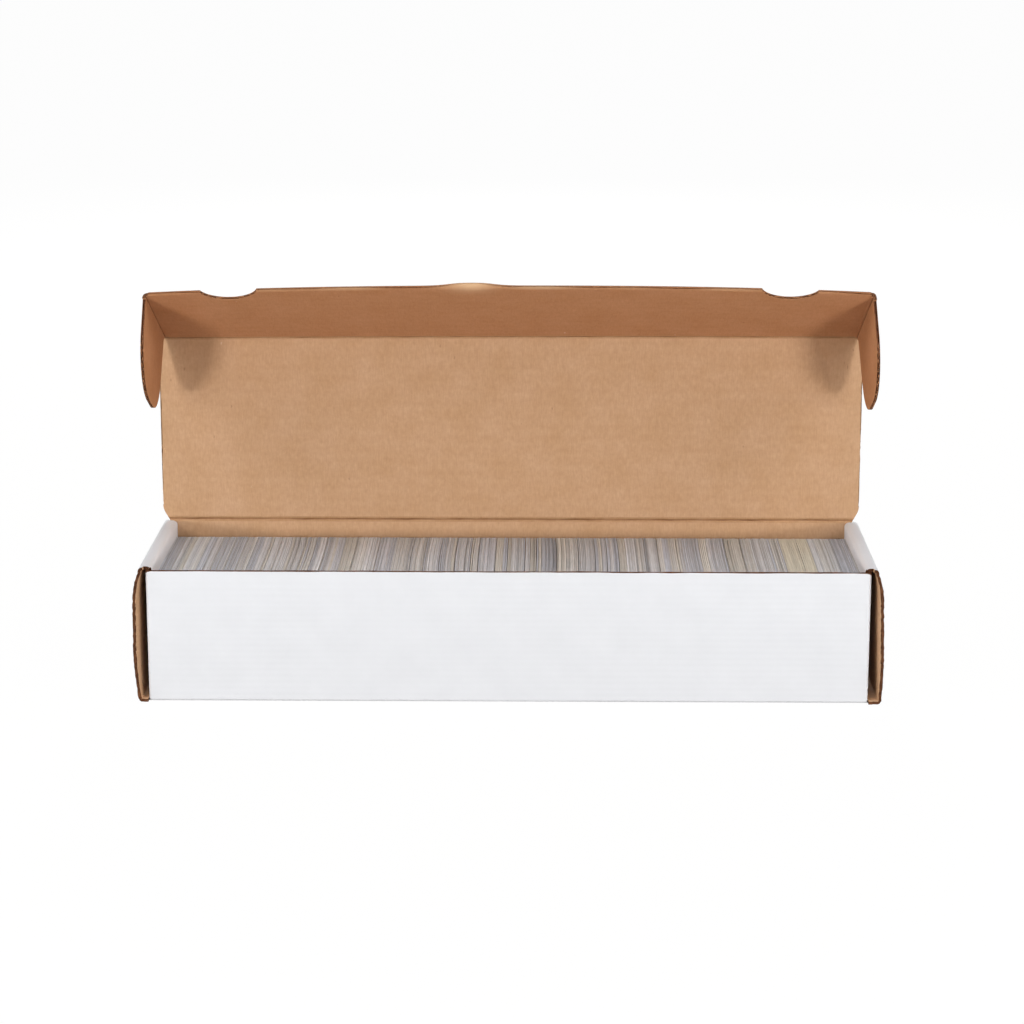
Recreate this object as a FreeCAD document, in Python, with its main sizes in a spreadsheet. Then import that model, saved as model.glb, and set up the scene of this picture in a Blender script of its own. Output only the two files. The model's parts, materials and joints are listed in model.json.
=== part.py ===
import FreeCAD, Part
import math
import os
import re

import Sketcher

# Corrugated storage box for trading cards: a die-cut tray with doubled, rolled-over end walls, a hinged lid
# with a front flap and two locking ears, and a row of cards standing on their long edges.
# Frame: origin at the middle of the base's underside, +X along the length, +Y to the hinge, +Z up.
# The lid is stored open and the front flap raised. Sizes are millimetres, angles degrees.

SIZES = [
    # The tray
    ("box_length", 392.0),  # over the end walls at the base
    ("box_depth", 106.0),  # end walls, front edge to back edge
    ("end_height", 74.4),  # top of the rolled-over end walls
    ("board", 1.6),  # thickness of the corrugated board
    ("front_setback", 2.0),  # front wall behind the end walls' front edges
    ("front_drop", 2.3),  # front wall's top below the end walls' tops
    ("end_bow", 3.0),  # how far an end panel bulges at mid-height
    ("ear_slot", 2.2),  # gap between an end panel and its corner flaps
    ("corner_flap_gap", 8.8),  # between a front and a back corner flap
    ("corner_flap_lift", 0.4),  # corner flap above the base
    ("fold_radius_share", 0.75),  # outside of a folded corner, of the board
    ("rolled_edge_share", 0.875),  # soft long edges of the rolled-over tops, of the board
    ("fit_gap", 0.2),  # loose fit between folded panels
    # The locking tabs under the inner end panels
    ("tab_width", 20.0),
    ("tab_spacing", 50.0),  # between the two tabs' middles
    ("tab_recess", 0.2),  # tab's end above the base's underside
    # The lid and its front flap
    ("lid_gap", 0.3),  # closed lid above the end walls
    ("flap_gap", 0.3),  # closed flap in front of the front wall
    ("lid_lean", 0.5),  # degrees past upright as stored
    ("flap_fold", 62.3),  # degrees between flap and the lid's own plane as stored
    ("lid_chamfer_side", 5.0),  # cut corners beside the hinge, along the length
    ("lid_chamfer_rise", 6.3),  # the same, away from the hinge
    ("flap_length", 71.0),  # fold line to free edge
    ("notch_half_width", 15.0),  # rounded finger notches in the free edge
    ("notch_depth", 11.4),
    ("notch_inset", 43.3),  # flap's side edge to a notch's middle
    ("flap_corner_radius", 2.0),
    # The ears
    ("ear_root_start", 4.0),  # from the flap's fold line
    ("ear_end_inset", 3.0),  # ear's edge from the flap's free edge
    ("ear_reach", 49.0),  # fold line to tip
    ("ear_straight", 22.0),  # straight part of the edge that faces the flap's free edge
    ("ear_tip_radius", 20.0),
    ("ear_shoulder_radius", 30.0),
    # The scored fold lines that move
    ("crease_radius", 0.7),
    ("crease_margin", 1.5),  # panel's edge from the fold line
    # The cards
    ("card_slack", 11.75),  # free depth in front of the cards, which are 88.9 wide
    ("card_height", 63.5),
    ("pack_gap", 0.15),  # between packs, and between the cards and the back wall
]

PACK_COUNT = 16
# Where the tip of an ear begins and ends, as shares of the ear's root and reach.
TIP_INNER_SHARES = (0.04, 0.633)
TIP_END_SHARES = (0.345, 0.53)

# Formulas made of the named sizes. They are bound to the features below.
HALF_LENGTH = "(box_length/2)"
HALF_DEPTH = "(box_depth/2)"
OUTER_FACE = f"({HALF_LENGTH} - board)"  # inner face of an outer end panel
FLAP_FACE = f"({OUTER_FACE} - ear_slot)"  # outer face of the corner flaps
INNER_TOP = "(end_height - board)"  # where the end panels meet the rolled-over top
BAY_END = f"({FLAP_FACE} - 2*board)"  # face of an inner end panel beside the cards
FRONT_FACE = f"(front_setback - {HALF_DEPTH})"
FRONT_INSIDE = f"({FRONT_FACE} + board)"
FRONT_TOP = "(end_height - front_drop)"
BACK_INSIDE = f"({HALF_DEPTH} - board)"
HINGE_Y = f"({HALF_DEPTH} - board/2)"
HINGE_Z = "(end_height + lid_gap + board/2)"
LID_LENGTH = f"({HINGE_Y} - {FRONT_FACE} + flap_gap + board/2)"  # fold line to fold line
EAR_PLANE = f"({FLAP_FACE} + ear_slot/2)"
FLAP_TILT = "(flap_fold - lid_lean)"  # flap's turn from upright as stored
NOTCH_RADIUS = "((notch_half_width*notch_half_width + notch_depth*notch_depth)/(2*notch_depth))"
FOLD_Y = f"({HINGE_Y} + {LID_LENGTH}*sin(lid_lean))"
FOLD_Z = f"({HINGE_Z} + {LID_LENGTH}*cos(lid_lean))"
FLAP_REACH = f"(({BACK_INSIDE} - {FRONT_INSIDE} - corner_flap_gap)/2)"
FLAP_HALF = f"({EAR_PLANE} - crease_margin)"  # front flap, middle to side edge
EAR_ROOT_END = "(flap_length - ear_end_inset)"
EAR_ROOT = f"({EAR_ROOT_END} - ear_root_start)"
CARD_FRONT = f"({FRONT_INSIDE} + card_slack)"
CARD_WIDTH = f"({BACK_INSIDE} - pack_gap - {CARD_FRONT})"
PACK_LENGTH = f"((2*{BAY_END} - ({PACK_COUNT} + 1)*pack_gap)/{PACK_COUNT})"

doc = FreeCAD.newDocument("card_box")
sheet = doc.addObject("Spreadsheet::Sheet", "Sizes")
for row, (alias, value) in enumerate(SIZES, start=1):
    sheet.set(f"A{row}", str(value))
    sheet.setAlias(f"A{row}", alias)
doc.recompute()

pieces = []


def bound(formula):
    """The formula with each named size pointing at its cell."""
    names = {alias for alias, value in SIZES}
    return re.sub(r"[a-z_]+", lambda word: f"Sizes.{word[0]}" if word[0] in names else word[0], formula)


def number(formula):
    """What a formula comes to now."""
    return float(sheet.evalExpression(bound(formula)))


def bind(thing, values):
    for path, formula in values.items():
        thing.setExpression(path, bound(formula))


def place(thing, across="0", back="0", up="0", tilt=None):
    """Move a piece to its place, turned about X by a tilt in degrees."""
    if tilt is not None:
        turn = FreeCAD.Rotation(FreeCAD.Vector(1, 0, 0), number(tilt))
        thing.Placement = FreeCAD.Placement(FreeCAD.Vector(), turn)
        thing.setExpression("Placement.Rotation.Angle", f"({bound(tilt)}) * 1 deg")
    bind(thing, {"Placement.Base.x": across, "Placement.Base.y": back, "Placement.Base.z": up})


def new_body(name):
    body = doc.addObject("PartDesign::Body", name)
    body.Label = name
    pieces.append(body)
    return body


def new_sketch(body, plane):
    sketch = body.newObject("Sketcher::SketchObject", f"{body.Label}_outline")
    support = [feature for feature in body.Origin.OriginFeatures if feature.Role == plane]
    sketch.AttachmentSupport = [(support[0], "")]
    sketch.MapMode = "FlatFace"
    return sketch


def arc_through(start, end, radius, side):
    """The shorter arc from start to end; side 1 bulges to the right of the way, -1 to the left."""
    middle = (start + end) * 0.5
    way = end - start
    rise = math.sqrt(max(radius**2 - (way.Length / 2) ** 2, 0))
    left = FreeCAD.Vector(-way.y, way.x, 0).normalize()
    centre = middle + left * rise * side
    first, last = (start, end) if side > 0 else (end, start)
    first_angle = math.atan2(first.y - centre.y, first.x - centre.x)
    last_angle = math.atan2(last.y - centre.y, last.x - centre.x)
    if last_angle < first_angle:
        last_angle += 2 * math.pi
    circle = Part.Circle(centre, FreeCAD.Vector(0, 0, 1), radius)
    return Part.ArcOfCircle(circle, first_angle, last_angle)


def draw_loop(sketch, corners):
    """A closed outline. A corner is (across, up), or (across, up, radius, side) where an arc leaves it."""
    spots = [FreeCAD.Vector(number(corner[0]), number(corner[1]), 0) for corner in corners]
    edges = []
    for index, corner in enumerate(corners):
        start = spots[index]
        end = spots[(index + 1) % len(spots)]
        if len(corner) == 2:
            line = sketch.addGeometry(Part.LineSegment(start, end))
            edges.append((line, 1, 2))
        else:
            radius, side = corner[2:]
            arc = sketch.addGeometry(arc_through(start, end, number(radius), side))
            edges.append((arc, 1, 2) if side > 0 else (arc, 2, 1))
            curve = sketch.addConstraint(Sketcher.Constraint("Radius", arc, number(radius)))
            sketch.setExpression(f"Constraints[{curve}]", bound(radius))
    for index, corner in enumerate(corners):
        edge, start_end, far_end = edges[index]
        after, after_start, after_far = edges[(index + 1) % len(edges)]
        sketch.addConstraint(Sketcher.Constraint("Coincident", edge, far_end, after, after_start))
        for kind, formula in (("DistanceX", corner[0]), ("DistanceY", corner[1])):
            pin = Sketcher.Constraint(kind, -1, 1, edge, start_end, number(formula))
            held = sketch.addConstraint(pin)
            sketch.setExpression(f"Constraints[{held}]", bound(formula))


def pad(body, sketch, thickness, symmetric=True):
    feature = body.newObject("PartDesign::Pad", f"{body.Label}_board")
    feature.Profile = sketch
    feature.SideType = "Symmetric" if symmetric else "One side"
    bind(feature, {"Length": thickness})
    doc.recompute()
    return feature


def round_edges(body, feature, radius, chosen):
    """Round the edges whose middle the test picks out."""
    names = []
    for index, edge in enumerate(feature.Shape.Edges, start=1):
        if chosen(edge.CenterOfMass, edge):
            names.append(f"Edge{index}")
    fillet = body.newObject("PartDesign::Fillet", f"{body.Label}_fold")
    fillet.Base = (feature, names)
    bind(fillet, {"Radius": radius})
    body.Tip = fillet
    doc.recompute()


def rectangle(left, low, right, high):
    return [(left, low), (right, low), (right, high), (left, high)]


def runs_along(edge, direction):
    """True for a straight edge along a direction."""
    way = edge.Vertexes[-1].Point - edge.Vertexes[0].Point
    return abs(way.normalize().dot(direction)) > math.cos(math.radians(1))


ALONG_Y = FreeCAD.Vector(0, 1, 0)
SIDES = (("left", -1), ("right", 1))


def tab_middles():
    return ("(-tab_spacing/2)", "(tab_spacing/2)")


def make_base_panel():
    """The floor, with a slot under each locking tab."""
    body = new_body("base_panel")
    sketch = new_sketch(body, "XY_Plane")
    draw_loop(sketch, rectangle(f"-{OUTER_FACE}", FRONT_INSIDE, OUTER_FACE, BACK_INSIDE))
    for side_name, side in SIDES:
        near = f"({side}*({BAY_END} - fit_gap))"
        far = f"({side}*({BAY_END} + board + fit_gap))"
        left, right = (near, far) if side > 0 else (far, near)
        for middle in tab_middles():
            low = f"({middle} - tab_width/2 - fit_gap)"
            high = f"({middle} + tab_width/2 + fit_gap)"
            draw_loop(sketch, rectangle(left, low, right, high))
    pad(body, sketch, "board", symmetric=False)


def make_long_wall(name, middle, top, faces_front):
    """Front or back wall, between the corner flaps, with rounded folds on its outer face."""
    body = new_body(name)
    sketch = new_sketch(body, "XZ_Plane")
    draw_loop(sketch, rectangle(f"-{FLAP_FACE}", "0", FLAP_FACE, top))
    wall = pad(body, sketch, "board")
    outward = -1 if faces_front else 1
    top_height = number(top)

    def outer_fold(spot, edge):
        return spot.y * outward > 0 and spot.z < top_height * (1 - 1e-6)

    round_edges(body, wall, "fold_radius_share*board", outer_fold)
    place(body, back=middle)


def make_end_outer(side_name, side):
    """Outer end panel, bulged outwards between its base fold and its rolled top."""
    body = new_body(f"{side_name}_end_outer")
    sketch = new_sketch(body, "XZ_Plane")
    bend = f"(({INNER_TOP}/2)^2 + end_bow^2)/(2*end_bow)"
    outer = f"({side}*{HALF_LENGTH})"
    inner = f"({side}*{OUTER_FACE})"
    corners = [(inner, "0"), (outer, "0", bend, side), (outer, INNER_TOP), (inner, INNER_TOP, bend, -side)]
    draw_loop(sketch, corners)
    pad(body, sketch, "box_depth")


def make_end_rollover(side_name, side):
    """The board rolled over the end wall's top; its inner strip stops at the long walls."""
    body = new_body(f"{side_name}_end_rollover")
    sketch = new_sketch(body, "XY_Plane")
    outer = f"({side}*{HALF_LENGTH})"
    step = f"({side}*({FLAP_FACE} + fit_gap))"
    inner = f"({side}*{BAY_END})"
    front = f"({FRONT_INSIDE} + fit_gap)"
    back = f"({BACK_INSIDE} - fit_gap)"
    corners = [
        (outer, f"(-{HALF_DEPTH})"),
        (outer, HALF_DEPTH),
        (step, HALF_DEPTH),
        (step, back),
        (inner, back),
        (inner, front),
        (step, front),
        (step, f"(-{HALF_DEPTH})"),
    ]
    draw_loop(sketch, corners)
    top = pad(body, sketch, "board", symmetric=False)
    middle = number("board/2")
    edge_lines = (number(HALF_LENGTH), number(BAY_END))
    hair = number("board") * 1e-3

    def long_top_edge(spot, edge):
        on_line = any(abs(abs(spot.x) - line) < hair for line in edge_lines)
        return on_line and spot.z > middle and runs_along(edge, ALONG_Y)

    round_edges(body, top, "rolled_edge_share*board", long_top_edge)
    place(body, up=INNER_TOP)


def make_end_inner(side_name, side):
    """Inner end panel, held down by tabs in the base."""
    body = new_body(f"{side_name}_end_inner")
    sketch = new_sketch(body, "YZ_Plane")
    corners = [(f"({FRONT_INSIDE} + fit_gap)", "board")]
    for middle in tab_middles():
        start = f"({middle} - tab_width/2)"
        end = f"({middle} + tab_width/2)"
        corners += [(start, "board"), (start, "tab_recess"), (end, "tab_recess"), (end, "board")]
    back = f"({BACK_INSIDE} - fit_gap)"
    corners += [(back, "board"), (back, INNER_TOP), (f"({FRONT_INSIDE} + fit_gap)", INNER_TOP)]
    draw_loop(sketch, corners)
    pad(body, sketch, "board")
    place(body, across=f"{side}*({BAY_END} + board/2)")


def make_corner_flap(end_name, side_name, side, start):
    """Flap folded from a long wall, standing inside the end wall."""
    body = new_body(f"{end_name}_{side_name}_corner_flap")
    sketch = new_sketch(body, "YZ_Plane")
    low = "(board + corner_flap_lift)"
    draw_loop(sketch, rectangle(start, low, f"({start} + {FLAP_REACH})", FRONT_TOP))
    pad(body, sketch, "board")
    place(body, across=f"{side}*({FLAP_FACE} - board/2)")


def make_lid_panel():
    body = new_body("lid_panel")
    sketch = new_sketch(body, "XZ_Plane")
    low = "crease_margin"
    high = f"({LID_LENGTH} - crease_margin)"
    cut = f"({HALF_LENGTH} - lid_chamfer_side)"
    rise = "(crease_margin + lid_chamfer_rise)"
    corners = [
        (f"(-{cut})", low),
        (cut, low),
        (HALF_LENGTH, rise),
        (HALF_LENGTH, high),
        (f"(-{HALF_LENGTH})", high),
        (f"(-{HALF_LENGTH})", rise),
    ]
    draw_loop(sketch, corners)
    pad(body, sketch, "board")
    place(body, back=HINGE_Y, up=HINGE_Z, tilt="-lid_lean")


def make_lid_front_flap():
    """Front flap with two rounded finger notches in its free edge."""
    body = new_body("lid_front_flap")
    sketch = new_sketch(body, "XZ_Plane")
    curve = "flap_corner_radius"
    high = "flap_length"
    corners = [(f"(-{FLAP_HALF})", "crease_margin"), (FLAP_HALF, "crease_margin")]
    corners += [(FLAP_HALF, f"({high} - {curve})", curve, 1), (f"({FLAP_HALF} - {curve})", high)]
    for middle in (f"({FLAP_HALF} - notch_inset)", f"(notch_inset - {FLAP_HALF})"):
        corners += [
            (f"({middle} + notch_half_width)", high, NOTCH_RADIUS, -1),
            (middle, f"({high} - notch_depth)", NOTCH_RADIUS, -1),
            (f"({middle} - notch_half_width)", high),
        ]
    corners += [(f"({curve} - {FLAP_HALF})", high, curve, 1), (f"(-{FLAP_HALF})", f"({high} - {curve})")]
    draw_loop(sketch, corners)
    pad(body, sketch, "board")
    place(body, back=FOLD_Y, up=FOLD_Z, tilt=FLAP_TILT)


def make_ear(side_name, side):
    """Locking ear: straight along the flap's free edge, then a broad rounded tip back to the lid."""
    body = new_body(f"{side_name}_ear")
    sketch = new_sketch(body, "YZ_Plane")
    inner_along, inner_out = TIP_INNER_SHARES
    end_start, end_stop = TIP_END_SHARES
    margin = "(-crease_margin)"
    corners = [
        (margin, "ear_root_start"),
        (margin, EAR_ROOT_END),
        ("(-ear_straight)", EAR_ROOT_END, "ear_shoulder_radius", 1),
        ("(-ear_reach)", f"(ear_root_start + {end_stop}*{EAR_ROOT})"),
        ("(-ear_reach)", f"(ear_root_start + {end_start}*{EAR_ROOT})", "ear_tip_radius", 1),
        (f"(-{inner_out}*ear_reach)", f"(ear_root_start + {inner_along}*{EAR_ROOT})"),
    ]
    draw_loop(sketch, corners)
    pad(body, sketch, "board")
    place(body, across=f"{side}*{EAR_PLANE}", back=FOLD_Y, up=FOLD_Z, tilt=FLAP_TILT)


def make_crease(name, length, across, back, up, tilt=None):
    """Scored fold line between two panels that turn."""
    rod = doc.addObject("Part::Cylinder", name)
    rod.Label = name
    bind(rod, {"Radius": "crease_radius", "Height": length})
    if tilt is None:
        turn = FreeCAD.Rotation(FreeCAD.Vector(0, 1, 0), 90)
        rod.Placement = FreeCAD.Placement(FreeCAD.Vector(), turn)
    place(rod, across, back, up, tilt)
    pieces.append(rod)


def make_creases():
    lid_half = f"({FLAP_FACE} - fit_gap)"
    make_crease("lid_crease", f"2*{lid_half}", f"-{lid_half}", HINGE_Y, HINGE_Z)
    make_crease("flap_crease", f"2*{FLAP_HALF}", f"-{FLAP_HALF}", FOLD_Y, FOLD_Z)
    for side_name, side in SIDES:
        back = f"{FOLD_Y} - ear_root_start*sin({FLAP_TILT})"
        up = f"{FOLD_Z} + ear_root_start*cos({FLAP_TILT})"
        make_crease(f"{side_name}_ear_crease", EAR_ROOT, f"{side}*{EAR_PLANE}", back, up, FLAP_TILT)


def make_card_packs():
    """The row of cards, in packs that lift out one by one."""
    for index in range(PACK_COUNT):
        pack = doc.addObject("Part::Box", f"card_pack_{index + 1:02d}")
        pack.Label = f"card_pack_{index + 1:02d}"
        bind(pack, {"Length": PACK_LENGTH, "Width": CARD_WIDTH, "Height": "card_height"})
        across = f"pack_gap - {BAY_END} + {index}*({PACK_LENGTH} + pack_gap)"
        place(pack, across, CARD_FRONT, "board")
        pieces.append(pack)


make_base_panel()
make_long_wall("front_wall", f"{FRONT_FACE} + board/2", FRONT_TOP, True)
make_long_wall("back_wall", HINGE_Y, f"({HINGE_Z} - crease_margin)", False)
for side_name, side in SIDES:
    make_end_outer(side_name, side)
    make_end_rollover(side_name, side)
    make_end_inner(side_name, side)
    make_corner_flap("front", side_name, side, FRONT_INSIDE)
    make_corner_flap("back", side_name, side, f"({BACK_INSIDE} - {FLAP_REACH})")
    make_ear(side_name, side)
make_lid_panel()
make_lid_front_flap()
make_creases()
make_card_packs()
doc.recompute()

for thing in doc.Objects:
    if "Invalid" in thing.State or "Error" in thing.State:
        raise RuntimeError(f"{thing.Label} did not build")
for piece in pieces:
    if piece.Shape.isNull() or not piece.Shape.isValid():
        raise RuntimeError(f"{piece.Label} has no valid solid")

os.makedirs("parts", exist_ok=True)
for piece in pieces:
    piece.Shape.exportStep(f"parts/{piece.Label}.step")
    box = piece.Shape.BoundBox
    low = f"{box.XMin:8.2f} {box.YMin:8.2f} {box.ZMin:8.2f}"
    high = f"{box.XMax:8.2f} {box.YMax:8.2f} {box.ZMax:8.2f}"
    print(f"{piece.Label:26s} {low}  {high}  {piece.Shape.Volume:10.1f}")
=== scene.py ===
import json
import math
import random

import bpy
from mathutils import Matrix, Vector


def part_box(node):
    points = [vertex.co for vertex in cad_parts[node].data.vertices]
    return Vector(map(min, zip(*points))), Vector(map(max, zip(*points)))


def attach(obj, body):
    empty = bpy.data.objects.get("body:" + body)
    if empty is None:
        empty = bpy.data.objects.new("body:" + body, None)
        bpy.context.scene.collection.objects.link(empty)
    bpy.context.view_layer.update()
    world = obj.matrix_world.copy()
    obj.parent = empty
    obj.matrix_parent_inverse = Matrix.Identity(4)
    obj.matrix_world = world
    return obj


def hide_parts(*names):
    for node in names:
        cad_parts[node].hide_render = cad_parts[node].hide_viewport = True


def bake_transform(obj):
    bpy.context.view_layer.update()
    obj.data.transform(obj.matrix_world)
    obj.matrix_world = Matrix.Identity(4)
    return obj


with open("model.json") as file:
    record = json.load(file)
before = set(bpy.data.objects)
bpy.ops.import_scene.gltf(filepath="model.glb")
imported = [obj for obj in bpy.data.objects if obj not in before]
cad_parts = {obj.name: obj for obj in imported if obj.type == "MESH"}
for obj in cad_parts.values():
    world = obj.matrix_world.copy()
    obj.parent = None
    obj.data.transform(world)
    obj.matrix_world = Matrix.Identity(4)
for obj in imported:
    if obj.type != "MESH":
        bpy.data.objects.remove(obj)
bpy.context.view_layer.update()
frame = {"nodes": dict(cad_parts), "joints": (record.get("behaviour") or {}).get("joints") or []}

# A long white mailer box of corrugated board, open, with a row of trading cards in it.
# Everything is in metres: X along the box, Y towards the hinge, Z up.

MM = 0.001
CLOSE = 0.01 * MM             # a point this near a plane lies on it
AT_CUT = 0.05 * MM            # and one this near a cut belongs to it
draws = random.Random(800)

# The board: a white outer liner, fluted brown paper and a brown inner liner.
LINER = 0.26 * MM
FLUTED_PAPER = 0.2 * MM
FLUTE_PITCH = 3.4 * MM
FLUTE_STEPS = 8
CUT_DEPTH = 0.9 * MM          # how far the fluted paper lies back in a cut edge
FOLD_RADIUS = 1.45 * MM       # outside radius of a folded edge
FOLD_STEPS = 5
CREASE_REACH = 1.5 * MM       # how far a crease runs on each side of its fold line
CREASE_LAP = 0.5 * MM         # and laps over its panels, standing this much proud of them
CREASE_PROUD = 0.03 * MM
CREASE_PINCH = 0.45 * MM      # how deep the score presses the brown side in, and over what share of it
CREASE_PINCH_SPREAD = 0.22
EAR_CREASE_SHORT = (0.8 * MM, 1.0 * MM)  # how far from the fold and the free edge an ear crease stops
WALL_GAP = 0.2 * MM           # room between the ends and the long walls

# The sheets that the die cuts to shape.
BLANK_SPARE = 4 * MM          # how much longer they are than the lid and the flap
LID_BLANK, FLAP_BLANK, EAR_BLANK = 110 * MM, 76 * MM, 72 * MM  # their depths across the flutes
EAR_BLANK_LENGTH = 62 * MM
FLAP_MIDDLE = 36 * MM         # their middles lie this far out from the fold
EAR_MIDDLE = 27 * MM          # and an ear's this far down from the flap

# How this box has settled out of true.
FOLD_RISE = 0.45 * MM         # the lid's front fold stands up this much in the middle
FOLD_TWIST = 0.65 * MM        # and its right end this much more, its left end this much less
FLAP_LIFT = 0.35 * MM         # the flap's free edge stands up this much at its ends
FLAP_RISE = 3.9 * MM          # and this much more in the middle
FLAP_TWIST = 0.5 * MM         # its right end stands up this much more, its left end this much less
FLAP_CRUSH = 0.4              # share of the thickness that the die left where it crushed that edge most
FLAP_CRUSH_WIDTH = 1.4 * MM
FLAP_CURL = 52                # degrees that a short bruised stretch of that edge curls up
FLAP_CURL_AT = -20 * MM
FLAP_CURL_SPREAD = 12 * MM
FLAP_CURL_WIDTH = 3.2 * MM
FLAP_FLARE = (-0.3 * MM, 1.2 * MM)  # each ear crease drifts outwards from the fold to the free edge
EAR_LEAN = {"left": 1.0, "right": 3.0}  # degrees that each ear leans outwards
END_FLARE = {"left": 1.4 * MM, "right": 3.0 * MM}  # how far the foot of each end panel stands out
END_SLACK = 0.8 * MM          # how much flatter they stand between their margins
END_CURL = 1.4 * MM           # how far the end panels' upright margins curl out
END_CURL_WIDTH = 6 * MM
ROLL_SKEW = 0.9 * MM          # how far the inner panels lean in at the back
END_RAGGED = 0.6 * MM         # how unevenly the end panels' upright edges were cut
END_WAVER = 0.2 * MM          # and how far they waver in and out
LID_RAGGED = 0.8 * MM         # and the lid's side edges, across the flutes
WALL_RAGGED = 0.3 * MM        # and the front wall's top edge
WALL_CORNER = 2.6 * MM        # rounding of the front wall's top corners
ROLL_SPRING = 71.2 * MM       # height where the end panels begin to bend over
ROLL_FULLNESS = 0.62          # 1 bends round, less bends squarer
LID_CORNER = 2.4 * MM         # rounding of the cut corners beside the hinge
LID_CORNER_DROP = 2.1 * MM    # how much lower those corners begin
LID_FOOT = 1.6 * MM           # and how much further the lid reaches at each end of its foot
LID_CORNER_ZONE = (4 * MM, 20 * MM)  # the heights over the hinge between which those corners lie

# Cards of the common size, fifty to each lifted pack.
CARD_PACKS = 16
CARDS_IN_PACK = 50
CARD_CORNER = 3.0 * MM
CARD_FIELD = (41.2 * MM, 28.5 * MM)  # half the length and height of the tinted field on a card's face
CARD_THICKNESS = (0.34, 0.42)  # thinnest and thickest, in mm, before a pack is fitted to its length
CARD_FILL = 0.98              # share of its place that a card fills
CARD_BOW = 0.7 * MM           # how far the cards bow along the row, in waves of this length
CARD_BOW_LENGTH = 150 * MM
CARD_ROW_HALF = 190 * MM      # and straight again at the row's ends

UP = Vector((0, 0, 1))
RIGHT = Vector((1, 0, 0))
BACK = Vector((0, 1, 0))
SIDES = {"left": -1, "right": 1}

front_low, front_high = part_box("front_wall")
BOARD = front_high.y - front_low.y

joints = {joint["name"]: joint for joint in frame["joints"]}
hinge = Vector(joints["lid_hinge"]["pos_m"])
fold = Vector(joints["front_flap_hinge"]["pos_m"])
lid_way = (fold - hinge).normalized()
flap_way = Vector(joints["right_ear_hinge"]["axis"]).normalized()
ear_way = RIGHT.cross(flap_way).normalized()
ear_axis_x = abs(joints["right_ear_hinge"]["pos_m"][0])
lid_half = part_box("lid_panel")[1].x
crease_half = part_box("lid_crease")[1].x
lid_foot = crease_half + LID_FOOT
flap_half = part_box("lid_front_flap")[1].x
flap_points = frame["nodes"]["lid_front_flap"].data.vertices
flap_length = max((vertex.co - fold).dot(flap_way) for vertex in flap_points)


# Materials


def hex_colour(code):
    """An sRGB hex colour as linear red, green, blue and alpha."""
    parts = [int(code[i:i + 2], 16) / 255 for i in (1, 3, 5)]
    return [c / 12.92 if c <= 0.04045 else ((c + 0.055) / 1.055) ** 2.4 for c in parts] + [1]


def add_node(material, kind, sockets, stops=(), **settings):
    """Adds a node with its settings, links and values; stops are a colour ramp's places and colours."""
    tree = material.node_tree
    node = tree.nodes.new(kind)
    for name, value in settings.items():
        setattr(node, name, value)
    for socket, value in sockets.items():
        if isinstance(value, bpy.types.NodeSocket):
            tree.links.new(value, node.inputs[socket])
        else:
            node.inputs[socket].default_value = value
    if stops:
        ramp = node.color_ramp.elements
        while len(ramp) < len(stops):
            ramp.new(0.5)
        for element, (place, colour) in zip(ramp, stops):
            element.position, element.color = place, hex_colour(colour)
    return node


def new_material(name):
    material = bpy.data.materials.new(name)
    material.use_nodes = True
    material.node_tree.nodes.clear()
    return material


def per_mm(size):
    """The texture scale of a pattern of that size in millimetres, on coordinates in metres."""
    return 1000 / size


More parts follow.
